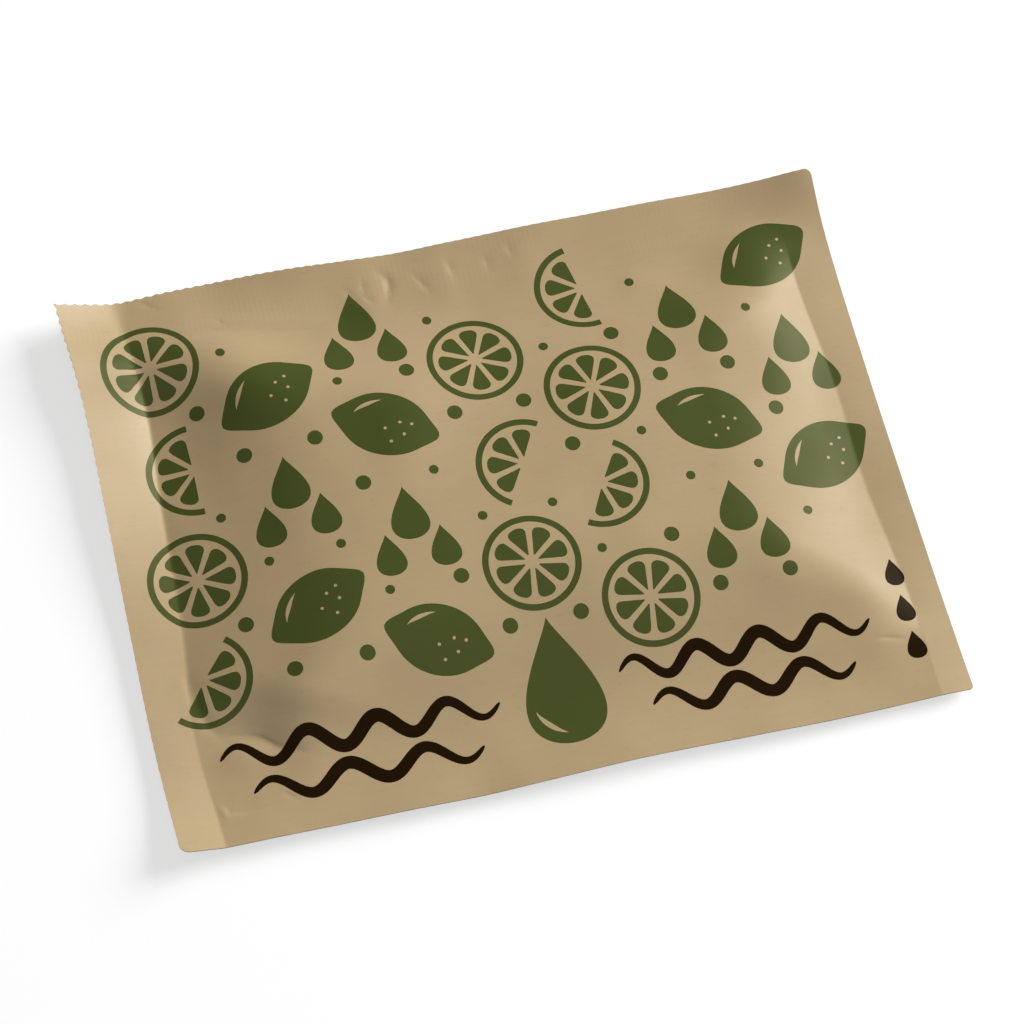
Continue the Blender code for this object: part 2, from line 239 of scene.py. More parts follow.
# Print: columns of citrus slices, half slices, whole fruit and drops, each second column half a
# row lower, with dots between them. The pattern ends at its foot, which is higher in its right
# part, past this distance from the middle.
COLUMNS = 7
COLUMN_STEP = 10.9
ROWS = 4
ROW_STEP = 11.8
TOP_ROW = 21.5
PATTERN_FOOT = -15.0
RIGHT_PART = 25.0
RIGHT_FOOT = -10.0
MOTIF_RADIUS = 5.0

# Turns in degrees: the first motif's, and what each column and each row adds to it
SLICE_TURNS = (0, 37, 53)
HALF_SLICE_TURNS = (20, 110, 70)
FRUIT_TILT = 25

# Slices: the widths of the rind and of the pith inside it, the wedges in a whole slice, the gap
# between them, how far from the slice's middle they start, how far their tips stay from where
# their sides would meet, the steps along a side, the length and angles of the rounded end, and
# how far a half slice's straight side is from the middle of its place, as a share of its radius
RIND = 0.66
PITH = 0.50
WEDGES = 8
WEDGE_GAP = 0.48
WEDGE_START = 0.75
WEDGE_TIP = 0.05
WEDGE_SIDE_STEPS = 3
WEDGE_ROUNDING = 0.9
WEDGE_END_ANGLES = (20, 40, 60, 78)
HALF_SLICE_DROP = 0.45

# Whole fruit: its half length, half height and nubs as shares of the motif's radius, and how
# narrow the nubs are. The curve of light follows its outline at a share of its size, between two
# angles in degrees. The places of the pores are shares of the motif's radius too.
FRUIT_HALF_LENGTH = 0.92
FRUIT_HALF_HEIGHT = 0.70
FRUIT_NUB = 0.20
NUB_SHARPNESS = 15
FRUIT_LIGHT = 0.76
FRUIT_LIGHT_THICKNESS = 0.14
FRUIT_LIGHT_ANGLES = (105, 168)
PORES = ((0.42, -0.14), (0.20, -0.36), (0.02, -0.10), (0.52, 0.12), (0.28, 0.10))
PORE_RADIUS = 0.17

# Drops: their width as a share of their length, the taper of their tip, and the place and
# length of the three in a motif, as shares of its radius
DROP_FATNESS = 0.80
DROP_TAPER = 1.5
DROP_SWELL = 1.22
DROPS = (((0.0, 0.36), 1.15), ((-0.56, -0.46), 0.90), ((0.56, -0.46), 0.90))

# Dots: their places as shares of a column and a row from each motif, their radii, and how far
# they stay from the right edge
DOT_PLACES = ((1 / 3, 1 / 2), (2 / 3, 0.0))
DOT_RADII = (0.80, 0.50)
DOT_MARGIN = 4.0

# Below the pattern: a large drop in the middle with a curve of light in its round part, two
# pairs of brown strokes, given by the left end and length of the upper one, and three small
# drops. The lower stroke is shifted from the upper one, and is shorter.
LARGE_DROP_PLACE = (40.0, 50.2)
LARGE_DROP_LENGTH = 13.0
LARGE_DROP_FATNESS = 0.72
LARGE_DROP_LIGHT_BELOW = 2.2
LARGE_DROP_LIGHT_RADIUS = 3.1
LARGE_DROP_LIGHT_THICKNESS = 0.18
LARGE_DROP_LIGHT_ANGLES = (185, 262)
STROKES = (((5.6, 51.0), 28.0), ((46.0, 50.5), 26.0))
STROKE_PERIODS = 4
STROKE_HALF_HEIGHT = 1.15
STROKE_WIDTH = 1.35
STROKE_END = 0.12
LOWER_STROKE_SHIFT = Vector((2.5, -4.0))
LOWER_STROKE_SHORTER = 5.0
LOWER_STROKE_PERIODS = 3
SMALL_DROP_PLACES = ((76.0, 46.0), (76.0, 50.0), (76.0, 54.0))
SMALL_DROP_LENGTH = 3.0

# Points on the print's outlines: the step along a circle and its least number of points, and
# the points of an oval, a curve of light, a drop and one period of a stroke
CIRCLE_STEP = 0.32
CIRCLE_POINTS = 14
OVAL_POINTS = 56
CRESCENT_STEPS = 12
DROP_POINTS = 48
PERIOD_STEPS = 28

# Camera, from the photograph's perspective: angles in degrees, distances in millimetres, and
# the nearest that it sees in metres
CAMERA_AZIMUTH = -24.2
CAMERA_ELEVATION = 66.0
CAMERA_ROLL = 11.1
CAMERA_DISTANCE = 326.0
CAMERA_LENS = 113.3
CAMERA_AIM = (-0.2, -1.35, 1.0)
CAMERA_CLIP = 0.01

# Lights: the direction each comes from, its distance and size in metres, and its power in watts
KEY_LIGHT = (Vector((0.82, 0.28, 0.50)), 1.1, 0.63, 19.1)
FILL_LIGHT = (Vector((-0.20, -0.20, 0.96)), 1.4, 1.0, 3.7)

# World: its strength, and the rise of a ray, from 0 when level to 1 when upright, where the white
# that is seen behind the floor starts to fade and where it ends
WORLD_STRENGTH = 0.08
WORLD_FADE = (0.10, 0.40)

# Floor: half its side in metres, its distance below the sachet in millimetres, how strongly it
# glows where it is seen directly, and the grey that takes the light and the shadow
FLOOR_HALF = 30.0
FLOOR_GAP = 0.02
FLOOR_GLOW = 0.62
FLOOR_COLOUR = 0.42

# Gloss of the film, the inks and the cut edge
ROUGHNESS = 0.39
ROUGHNESS_VARIATION = 0.10
FILM_SPECULAR = 0.34
FILM_TINT = (1.0, 0.97, 0.88)
GREEN_SPECULAR = 0.25
GREEN_TINT = (1.0, 0.92, 0.55)
BROWN_SPECULAR = 0.06
BROWN_TINT = (1.0, 0.80, 0.45)
EDGE_ROUGHNESS = 0.75

# How much the paper's fibres, flecks and mottling and the cut edge's fuzz change the brightness
FIBRE_SHADE = 0.030
FLECK_SHADE = 0.045
MOTTLE_SHADE = 0.030
FUZZ_SHADE = 0.40

# Relief of the film: the heights of its grain and ribs, the ribs' pitch, and the width over which
# they fade at the top seal's inner edge
GRAIN_HEIGHT = 0.0022
RIB_HEIGHT = 0.0030
RIB_PITCH = 0.55
RIB_FADE = 0.60

# Noises: the scale per millimetre along x, y and z, the number of finer layers and their strength
FIBRES = ((0.10, 4.5, 0.3), 3.0, 0.65)
FLECKS = ((0.9, 3.2, 0.5), 2.0, 0.5)
MOTTLE = ((0.30, 0.45, 0.3), 3.0, 0.6)
GRAIN = ((0.8, 4.0, 0.8), 3.0, 0.6)
RIB_PATCHES = ((0.12, 0.25, 0.1), 1.0, 0.5)
GLOSS = ((0.25, 0.6, 0.3), 2.0, 0.5)
FUZZ = ((2.0, 2.0, 6.0), 3.0, 0.5)

# Where in their noise the flecks and the patches of ribs start and are full
FLECK_RANGE = (0.60, 0.74)
RIB_PATCH_RANGE = (0.42, 0.60)


def linear(colour):
    """A colour of 0 to 255 on screen as linear values, by the sRGB formula, with an alpha of 1."""
    def channel(value):
        share = value / 255
        return share / 12.92 if share <= 0.04045 else ((share + 0.055) / 1.055) ** 2.4
    return (*(channel(value) for value in colour), 1.0)


def at(right, down):
    """The point that is so far right of and down from the top left corner."""
    return Vector((right - LENGTH / 2, WIDTH / 2 - down))


# Outline

def smooth_curve(values, t):
    """Values at t, from 0 to 1, on a smooth curve through evenly spaced values."""
    values = np.array(values, float)
    place = np.clip(t, 0, 1) * (len(values) - 1)
    i = np.minimum(np.asarray(place).astype(int), len(values) - 2)
    s = place - i
    slope_in = (values[i + 1] - values[np.maximum(i - 1, 0)]) / 2
    slope_out = (values[np.minimum(i + 2, len(values) - 1)] - values[i]) / 2
    return (values[i] * (2 * s ** 3 - 3 * s ** 2 + 1)
            + slope_in * (s ** 3 - 2 * s ** 2 + s)
            + values[i + 1] * (3 * s ** 2 - 2 * s ** 3)
            + slope_out * (s ** 3 - s ** 2))


def smooth_path(places, step):
    """Points about a step apart on a smooth curve through places."""
    points = [at(*place) for place in places]
    length = sum((b - a).length for a, b in zip(points, points[1:]))
    shares = np.linspace(0, 1, max(2, round(length / step)) + 1)
    along_x = smooth_curve([point.x for point in points], shares)
    along_y = smooth_curve([point.y for point in points], shares)
    return [Vector(place) for place in zip(along_x.tolist(), along_y.tolist())]


def tooth_bite(from_corner, fade):
    """Depth of the zigzag cut at a distance from the top left corner."""
    return WORN_BITE + (TOOTH_BITE - WORN_BITE) * math.exp(-(from_corner / fade) ** 2)


def edge_points(edge):
    """Points of one cut edge, anticlockwise, from one corner's arc to the next."""
    corners = [Vector((side_x * LENGTH / 2, side_y * WIDTH / 2))
               for side_x, side_y in ((-1, -1), (1, -1), (1, 1), (-1, 1))]
    following = (edge + 1) % 4
    run = corners[following] - corners[edge]
    along = run.normalized()
    outwards = Vector((along.y, -along.x))
    first = CORNER_RADII[edge] - EDGE_BOWS[edge - 1][-1]
    last = run.length + EDGE_BOWS[following][0] - CORNER_RADII[following]
    toothed = edge in (TOP_EDGE, LEFT_EDGE)
    step_length = TOOTH_PITCH / 2 if toothed else EDGE_STEP
    steps = 2 * max(1, round((last - first) / step_length / 2))
    points = []
    for step in range(steps + 1):
        place = first + (last - first) * step / steps
        stand = float(smooth_curve(EDGE_BOWS[edge], place / run.length))
        if edge == TOP_EDGE and step % 2 == 1:
            stand -= tooth_bite(run.length - place, TOP_FADE)
        if edge == LEFT_EDGE and step % 2 == 1:
            stand -= tooth_bite(place, LEFT_FADE)
        points.append(corners[edge] + along * place + outwards * stand)
    return points


def arc_points(start, end, radius):
    """Points between the ends of two edges, on the quarter arc that joins them."""
    if radius == 0:
        return []
    chord = end - start
    centre = (start + end) / 2 + Vector((-chord.y, chord.x)) / 2
    arm = start - centre
    return [centre + turned(arm, math.radians(90) * step / CORNER_STEPS)
            for step in range(1, CORNER_STEPS)]


def turned(vector, angle):
    """A vector turned anticlockwise."""
    cos = math.cos(angle)
    sin = math.sin(angle)
    return Vector((vector.x * cos - vector.y * sin, vector.x * sin + vector.y * cos))


def cut_outline():
    """The sachet's outline in plan, anticlockwise from the end of its left edge."""
    edges = [edge_points(edge) for edge in range(4)]
    outline = []
    for edge in range(4):
        outline += arc_points(edges[edge - 1][-1], edges[edge][0], CORNER_RADII[edge])
        outline += edges[edge] if CORNER_RADII[edge] > 0 else edges[edge][1:]
    return outline


# Relief

def left_seal_width(y):
    """Width of the left seal at each height of the picture."""
    return smooth_curve(LEFT_SEAL_WIDTHS, y / WIDTH + 0.5)


def right_seal_width(y):
    """Width of the right seal at each height of the picture."""
    return smooth_curve(RIGHT_SEAL_WIDTHS, y / WIDTH + 0.5)


def climb(t, foot, shoulder):
    """Share of its height that a slope has reached after a share t of its width."""
    t = np.clip(t, 0, 1)
    steepness = 1 / (1 - foot / 2 - shoulder / 2)
    start = t ** 2 / (2 * foot)
    straight = t - foot / 2
    end = 1 / steepness - (1 - t) ** 2 / (2 * shoulder)
    return steepness * np.where(t < foot, start, np.where(t < 1 - shoulder, straight, end))


def fullness(x, y):
    """How full the pouch is at each point: 0 on the seals and 1 over the wipe."""
    along_x = x / LENGTH + 0.5
    along_y = y / WIDTH + 0.5
    from_left = x + LENGTH / 2 - left_seal_width(y)
    from_right = LENGTH / 2 - right_seal_width(y) - x
    from_top = WIDTH / 2 - TOP_SEAL - y
    from_bottom = y + WIDTH / 2 - BOTTOM_SEAL
    start, end = [at(*place) for place in CORNER_LINE]
    run = (end - start).normalized()
    from_corner = run.x * (y - start.y) - run.y * (x - start.x)
    return (climb(from_left / smooth_curve(LEFT_SLOPES, along_y), SIDE_FOOT, LEFT_SHOULDER)
            * climb(from_right / smooth_curve(RIGHT_SLOPES, along_y), SIDE_FOOT, RIGHT_SHOULDER)
            * climb(from_top / smooth_curve(TOP_SLOPES, along_x), END_FOOT, END_SHOULDER)
            * climb(from_bottom / smooth_curve(BOTTOM_SLOPES, along_x), END_FOOT, END_SHOULDER)
            * climb(from_corner / CORNER_SLOPE, SIDE_FOOT, END_SHOULDER))


def near_edge(distance, reach):
    """A share that falls smoothly from 1 at an edge to 0 at the given reach from it."""
    return np.clip(1 - np.maximum(distance, 0) / reach, 0, 1) ** 2


def eased(value, softness):
    """The value where it is above zero and 0 below, with a soft bend between."""
    bend = (value + softness) ** 2 / (4 * softness)
    return np.where(np.abs(value) < softness, bend, np.maximum(value, 0))


def seal_height(x, y):
    """Height of the plane between the two plies, carried on through the pouch."""
    along_x = x / LENGTH + 0.5
    along_y = y / WIDTH + 0.5
    from_left = x + LENGTH / 2
    from_right = LENGTH / 2 - x
    left_bend = SIDE_BEND + (TOP_BEND - SIDE_BEND) * near_edge(WIDTH / 2 - y, BEND_FADE)
    left_rest = eased(1 - from_left / left_seal_width(y), left_bend)
    across_right = np.minimum(from_right / right_seal_width(y), 1)
    return (SEAL_LIFT
            + LEFT_STEP * near_edge(from_left - left_seal_width(y), LIFT_FADE)
            + RIGHT_STEP * near_edge(from_right - right_seal_width(y), LIFT_FADE)
            + smooth_curve(LEFT_LIFTS, along_y) * left_rest
            + smooth_curve(RIGHT_LIFTS, along_y) * (1 - across_right)
            + smooth_curve(BOTTOM_LIFTS, along_x) * near_edge(y + WIDTH / 2, LIFT_FADE)
            + smooth_curve(TOP_LIFTS, along_x) * near_edge(WIDTH / 2 - y, LIFT_FADE)
            + RIGHT_ARCH * np.sin(np.pi * across_right))


def fold(x, y, path, spread_left, spread_right):
    """A soft fold: 1 halfway along a path, less towards its ends, and 0 away from it."""
    lengths = [(b - a).length for a, b in zip(path, path[1:])]
    course = (path[-1] - path[0]).normalized()
    nearest = np.full(x.shape, np.inf)
    across = np.zeros_like(x)
    along = np.zeros_like(x)
    covered = 0.0
    for a, b, length in zip(path, path[1:], lengths):
        run = (b - a) / length
        t = np.clip((x - a.x) * run.x + (y - a.y) * run.y, 0, length)
        off_x = x - a.x - run.x * t
        off_y = y - a.y - run.y * t
        off = np.hypot(off_x, off_y)
        leftness = (course.x * off_y - course.y * off_x) / np.maximum(off, LEAST_DISTANCE) / 2 + 0.5
        spread = spread_right + (spread_left - spread_right) * leftness
        closer = off < nearest
        across = np.where(closer, off / spread, across)
        along = np.where(closer, (covered + t) / sum(lengths), along)
        nearest = np.where(closer, off, nearest)
        covered += length
    return np.exp(-across ** 2) * (FOLD_END + (1 - FOLD_END) * np.sin(np.pi * along) ** 2)


def swell(x, y, middle, left, right, below, above):
    """A round swelling that is 1 at its middle and spreads its own way to each side."""
    across = (x - middle.x) / np.where(x < middle.x, left, right)
    upwards = (y - middle.y) / np.where(y < middle.y, below, above)
    return np.exp(-across ** 2 - upwards ** 2)


def crinkle(x, y):
    """Slight waves all over the film, of many lengths and directions."""
    chance = np.random.RandomState(CRINKLE_SEED)
    height = np.zeros_like(x)
    for _ in range(CRINKLE_WAVES):
        length = chance.uniform(*CRINKLE_LENGTHS)
        direction = chance.uniform(0, math.pi)
        start = chance.uniform(0, math.tau)
        run = x * math.cos(direction) + y * math.sin(direction)
        height += length * np.sin(run * math.tau / length + start)
    return height * CRINKLE_STEEPNESS / math.sqrt(CRINKLE_WAVES)


def plies_height(x, y):
    """Height between the two plies, with the folds, the creases and the crinkle."""
    height = seal_height(x, y) + crinkle(x, y)
    for path, rise, spread_left, spread_right in FOLDS:
        height += rise * fold(x, y, [at(*place) for place in path], spread_left, spread_right)
    for path, rise, spread_left, spread_right in CREASES:
        height += rise * fold(x, y, smooth_path(path, CREASE_STEP), spread_left, spread_right)
    for place, rise, left, right, below, above in SWELLS:
        height += rise * swell(x, y, at(*place), left, right, below, above)
    return height


def back_height(x, y):
    """Back film: flat on the table under the wipe, and up at the seals."""
    under_wipe = np.minimum(fullness(x, y) * BACK_FLATTENING, 1)
    return np.maximum(plies_height(x, y) - FILM, 0) * (1 - under_wipe)


def front_height(x, y):
    """Front film: crowned over the wipe, and never closer to the back than the two plies."""
    crown = CROWN * (1 - (2 * x / LENGTH) ** 2) * (1 - (2 * y / WIDTH) ** 2)
    rise = FRONT_RISE - LEAN * 2 * x / LENGTH + crown
    level = plies_height(x, y) + FILM + rise * fullness(x, y)
    return np.maximum(level, back_height(x, y) + 2 * FILM)


# Print

def circle(centre, radius, first=0.0, turn=math.tau):
    """Points round a circle, or along an arc of it with both its ends."""
    steps = max(CIRCLE_POINTS, round(turn * radius / CIRCLE_STEP))
    count = steps if turn == math.tau else steps + 1
    return [centre + turned(Vector((radius, 0)), first + turn * step / steps)
            for step in range(count)]


def wedge(centre, middle_angle, start, end):
    """One wedge of a slice, with straight sides and a rounded outer end."""
    along = turned(Vector((1, 0)), middle_angle)
    aside = turned(along, math.pi / 2)
    half_turn = math.pi / WEDGES
    tip = max(start, WEDGE_GAP / 2 / math.sin(half_turn) + WEDGE_TIP)
    places = [tip + (end - WEDGE_ROUNDING - tip) * step / WEDGE_SIDE_STEPS
              for step in range(WEDGE_SIDE_STEPS + 1)]
    places += [end - WEDGE_ROUNDING * (1 - math.sin(math.radians(angle)))
               for angle in WEDGE_END_ANGLES]
    left = []
    right = []
    for place in places:
        half_width = place * math.sin(half_turn) - WEDGE_GAP / 2
        past = max(place - end + WEDGE_ROUNDING, 0) / WEDGE_ROUNDING
        half_width *= math.sqrt(1 - past ** 2)
        left.append(centre + along * place + aside * half_width)
        right.append(centre + along * place - aside * half_width)
    return left[::-1] + right


def slice_shapes(centre, radius, turn):
    """A slice of citrus fruit: green rind, bare pith and green wedges."""
    shapes = [(circle(centre, radius), GREEN), (circle(centre, radius - RIND), KRAFT)]
    return shapes + wedge_shapes(centre, radius, turn, WEDGES)


def half_slice_shapes(centre, radius, turn):
    """Half a slice, with its rind as a band along the arc."""
    middle = centre - turned(Vector((0, radius * HALF_SLICE_DROP)), turn)
    band = (circle(middle, radius, turn, math.pi)
            + circle(middle, radius - RIND, turn, math.pi)[::-1])
    return [(band, GREEN)] + wedge_shapes(middle, radius, turn, WEDGES // 2)


def wedge_shapes(centre, radius, turn, count):
    """Green wedges side by side, anticlockwise from the turn."""
    step = math.tau / WEDGES
    return [(wedge(centre, turn + step * (number + 0.5), WEDGE_START, radius - RIND - PITH), GREEN)
            for number in range(count)]


def oval(centre, half_length, half_height, nub, turn):
    """An oval with a small pointed nub at each end."""
    points = []
    for step in range(OVAL_POINTS):
        angle = math.tau * step / OVAL_POINTS
        x = half_length * math.cos(angle) + nub * math.cos(angle) ** NUB_SHARPNESS
        points.append(centre + turned(Vector((x, half_height * math.sin(angle))), turn))
    return points


def crescent(centre, half_length, half_height, thickness, first, last, turn):
    """A thin curve of bare film that follows an oval between two angles in degrees."""
    outer = []
    inner = []
    for step in range(CRESCENT_STEPS + 1):
        share = step / CRESCENT_STEPS
        angle = math.radians(first + (last - first) * share)
        point = Vector((half_length * math.cos(angle), half_height * math.sin(angle)))
        outer.append(centre + turned(point, turn))
        inner.append(centre + turned(point * (1 - thickness * math.sin(math.pi * share)), turn))
    return outer + inner[-2:0:-1]


def fruit_shapes(centre, radius, turn):
    """A whole fruit, with a bare curve of light and a few pores."""
    half_length = radius * FRUIT_HALF_LENGTH
    half_height = radius * FRUIT_HALF_HEIGHT
    light = crescent(centre, half_length * FRUIT_LIGHT, half_height * FRUIT_LIGHT,
                     FRUIT_LIGHT_THICKNESS, *FRUIT_LIGHT_ANGLES, turn)
    shapes = [(oval(centre, half_length, half_height, radius * FRUIT_NUB, turn), GREEN),
              (light, KRAFT)]
    for place in PORES:
        pore = centre + turned(Vector(place) * radius, turn)
        shapes.append((circle(pore, PORE_RADIUS), KRAFT))
    return shapes


def drop(centre, length, fatness=DROP_FATNESS):
    """A drop with its tip up."""
    points = []
    for step in range(DROP_POINTS):
        angle = math.tau * step / DROP_POINTS
        taper = abs(math.sin(angle / 2)) ** DROP_TAPER * DROP_SWELL
        x = -fatness / 2 * math.sin(angle) * taper
        points.append(centre + Vector((x, math.cos(angle) / 2)) * length)
    return points


def drop_shapes(centre, radius):
    """Three drops, the upper one the largest."""
    return [(drop(centre + Vector(place) * radius, size * radius), GREEN) for place, size in DROPS]


def wave(start, length, periods, half_height, stroke):
    """A wavy brush stroke that thins out towards both ends."""
    steps = periods * PERIOD_STEPS
    upper = []
    lower = []
    for step in range(steps + 1):
        share = step / steps
        angle = math.tau * periods * share
        middle = start + Vector((length * share, half_height * math.sin(angle)))
        run = Vector((length, half_height * math.tau * periods * math.cos(angle))).normalized()
        half = stroke / 2 * (STROKE_END + (1 - STROKE_END) * math.sin(math.pi * share) ** 0.5)
        upper.append(middle + Vector((-run.y, run.x)) * half)
        lower.append(middle - Vector((-run.y, run.x)) * half)
    return lower + upper[::-1]


def motif_turn(turns, column, row):
    """A motif's turn at its place in the pattern."""
    first, per_column, per_row = turns
    return math.radians(first + per_column * column + per_row * row)


def motif_shapes(centre, column, row):
    """The motif at one place in the pattern: four kinds take turns."""
    kind = (column + 2 * row + column // 2) % 4
    if kind == 0:
        return slice_shapes(centre, MOTIF_RADIUS, motif_turn(SLICE_TURNS, column, row))
    if kind == 1:
        tilt = FRUIT_TILT if row % 2 == 0 else -FRUIT_TILT
        return fruit_shapes(centre, MOTIF_RADIUS, math.radians(tilt))
    if kind == 2:
        return half_slice_shapes(centre, MOTIF_RADIUS, motif_turn(HALF_SLICE_TURNS, column, row))
    return drop_shapes(centre, MOTIF_RADIUS)


def dot_shapes(centre, row):
    """The dots to the right of a motif."""
    shapes = []
    for number, (aside, below) in enumerate(DOT_PLACES):
        dot = centre + Vector((aside * COLUMN_STEP, -below * ROW_STEP))
        if dot.x < LENGTH / 2 - DOT_MARGIN and dot.y > PATTERN_FOOT:
            shapes.append((circle(dot, DOT_RADII[(number + row) % 2]), GREEN))
    return shapes


def pattern_shapes():
    """The repeating pattern over the upper three quarters of the front."""
    shapes = []
    for column in range(COLUMNS):
        for row in range(ROWS):
            x = (column - (COLUMNS - 1) / 2) * COLUMN_STEP
            y = TOP_ROW - row * ROW_STEP - (column % 2) * ROW_STEP / 2
            foot = RIGHT_FOOT if x > RIGHT_PART else PATTERN_FOOT
            if y >= foot:
                centre = Vector((x, y))
                shapes += motif_shapes(centre, column, row) + dot_shapes(centre, row)
    return shapes


def foot_shapes():
    """The large drop below the pattern, and the brown strokes and small drops beside it."""
    middle = at(*LARGE_DROP_PLACE)
    round_part = middle - Vector((0, LARGE_DROP_LIGHT_BELOW))
    light = crescent(round_part, LARGE_DROP_LIGHT_RADIUS, LARGE_DROP_LIGHT_RADIUS,
                     LARGE_DROP_LIGHT_THICKNESS, *LARGE_DROP_LIGHT_ANGLES, 0.0)
    shapes = [(drop(middle, LARGE_DROP_LENGTH, LARGE_DROP_FATNESS), GREEN), (light, KRAFT)]
    for place, length in STROKES:
        start = at(*place)
        upper = wave(start, length, STROKE_PERIODS, STROKE_HALF_HEIGHT, STROKE_WIDTH)
        lower = wave(start + LOWER_STROKE_SHIFT, length - LOWER_STROKE_SHORTER,
                     LOWER_STROKE_PERIODS, STROKE_HALF_HEIGHT, STROKE_WIDTH)
        shapes += [(upper, BROWN), (lower, BROWN)]
    for place in SMALL_DROP_PLACES:
        shapes.append((drop(at(*place), SMALL_DROP_LENGTH), BROWN))
    return shapes


# Mesh

def lattice(step):
    """Points of a staggered lattice over the whole rectangle and a little beyond it."""
    row_step = step * math.sqrt(3) / 2
    last_row = math.ceil(WIDTH / row_step / 2) + LATTICE_MARGIN
    last_column = math.ceil(LENGTH / step / 2) + LATTICE_MARGIN
    column, row = np.meshgrid(np.arange(-last_column, last_column + 1),
                              np.arange(-last_row, last_row + 1))
    return np.column_stack([((column + row % 2 / 2) * step).ravel(), (row * row_step).ravel()])


def inside(points, loop):
    """Which points are inside a closed line."""
    result = np.zeros(len(points), bool)
    for start, end in zip(loop, loop[1:] + loop[:1]):
        if start.y == end.y:
            continue
        crosses = (start.y > points[:, 1]) != (end.y > points[:, 1])
        cross_x = start.x + (points[:, 1] - start.y) / (end.y - start.y) * (end.x - start.x)
        result ^= crosses & (points[:, 0] < cross_x)
    return result


def clear_of(points, loop, clearance):
    """Which points are further than the clearance from a closed line."""
    result = np.ones(len(points), bool)
    for start, end in zip(loop, loop[1:] + loop[:1]):
        low_x = min(start.x, end.x) - clearance
        high_x = max(start.x, end.x) + clearance
        low_y = min(start.y, end.y) - clearance
        high_y = max(start.y, end.y) + clearance
        near = np.flatnonzero((points[:, 0] > low_x) & (points[:, 0] < high_x)
                              & (points[:, 1] > low_y) & (points[:, 1] < high_y))
        run = end - start
        t = ((points[near] - start) @ np.array(run)) / run.length_squared
        off = points[near] - np.array(start) - np.clip(t, 0, 1)[:, None] * np.array(run)
        result[near[np.hypot(off[:, 0], off[:, 1]) < clearance]] = False
    return result


def crease_lines():
    """The fine creases, and the lines where the slopes start at the left and right seals."""
    downs = np.linspace(0, WIDTH, SEAM_PLACES).tolist()
    left_edge = [(float(left_seal_width(WIDTH / 2 - down)), down) for down in downs]
    right_edge = [(LENGTH - float(right_seal_width(WIDTH / 2 - down)), down) for down in downs]
    paths = [places for places, *_ in CREASES]
    return [smooth_path(places, ROW_SPACING) for places in paths + [left_edge, right_edge]]


def with_rows(points, lines):
    """The points, with close rows in place of those near the lines."""
    for line in lines:
        points = points[clear_of(points, line + line[-2:0:-1], ROW_CLEARANCE)]
        rows = []
        for before, place, after in zip([line[0]] + line, line, line[1:] + [line[-1]]):
            run = (after - before).normalized()
            rows += [place + Vector((-run.y, run.x)) * offset for offset in ROW_OFFSETS]
        points = np.vstack([points, np.array(rows)])
    return points


def triangulate(outline, shapes, step, lines):
    """The plan's points and triangles, split along the print's edges, and each one's surface."""
    loops = [outline] + [loop for loop, _ in shapes]
    field = with_rows(lattice(step), lines)
    field = field[inside(field, outline)]
    for loop in loops:
        field = field[clear_of(field, loop, LINE_CLEARANCE)]
    points = [Vector(point) for point in field]
    faces = []
    for loop in loops:
        faces.append(list(range(len(points), len(points) + len(loop))))
        points += loop
    plan, _, triangles, _, _, owners = delaunay_2d_cdt(points, [], faces, INSIDE_ONLY, SAME_POINT)
    surfaces = [KRAFT] + [surface for _, surface in shapes]
    return (np.array([tuple(point) for point in plan]), np.array(triangles),
            [surfaces[max(owner)] for owner in owners])


def rim_sides(triangles):
    """The directed sides that only one triangle has."""
    sides = np.concatenate([triangles[:, pair] for pair in ([0, 1], [1, 2], [2, 0])]).tolist()
    known = {(a, b) for a, b in sides}
    return [(a, b) for a, b in sides if (b, a) not in known]


def rim_key(point):
    """A rim point's place, rounded so that it is the same on the front and the back."""
    return tuple(np.round(point, RIM_DIGITS))


def make_shell(outline, middle, materials):
    """The closed shell of front film, back film and cut edge."""
    plan, triangles, surfaces = triangulate(
        outline, pattern_shapes() + foot_shapes(), FIELD_STEP, crease_lines())
    back_plan, back_triangles, _ = triangulate(outline, [], BACK_STEP, [])
    front = np.column_stack([plan - middle, front_height(plan[:, 0], plan[:, 1])])
    back = np.column_stack([back_plan - middle, back_height(back_plan[:, 0], back_plan[:, 1])])
    first_back = len(front)
    back_of = {rim_key(back_plan[a]): a + first_back for a, _ in rim_sides(back_triangles)}
    walls = [(b, a, back_of[rim_key(plan[a])], back_of[rim_key(plan[b])])
             for a, b in rim_sides(triangles)]
    faces = triangles.tolist() + (back_triangles[:, ::-1] + first_back).tolist() + walls
    mesh = bpy.data.meshes.new("sachet_shell")
    mesh.from_pydata((np.vstack([front, back]) * MM).tolist(), [], faces)
    for material in materials:
        mesh.materials.append(material)
    mesh.polygons.foreach_set(
        "material_index", surfaces + [KRAFT] * len(back_triangles) + [CUT_EDGE] * len(walls))
    mesh.shade_smooth()
    mesh.set_sharp_from_angle(angle=math.radians(SHARP_ANGLE))
    mesh.update()
    shell = bpy.data.objects.new("sachet_shell", mesh)
    bpy.context.scene.collection.objects.link(shell)
    return shell


# Materials

def node(tree, kind, **settings):
    """A new node with some of its properties set."""
    made = tree.nodes.new(kind)
    for name, value in settings.items():
        setattr(made, name, value)
    return made


def connect(tree, socket, value):
    """Gives an input a number, or links it to an output."""
    if isinstance(value, bpy.types.NodeSocket):
        tree.links.new(value, socket)
    else:
        socket.default_value = value


def maths(tree, operation, *values):
    """A Math node's result."""
    made = node(tree, "ShaderNodeMath", operation=operation)
    for number, value in enumerate(values):
        connect(tree, made.inputs[number], value)
    return made.outputs[0]


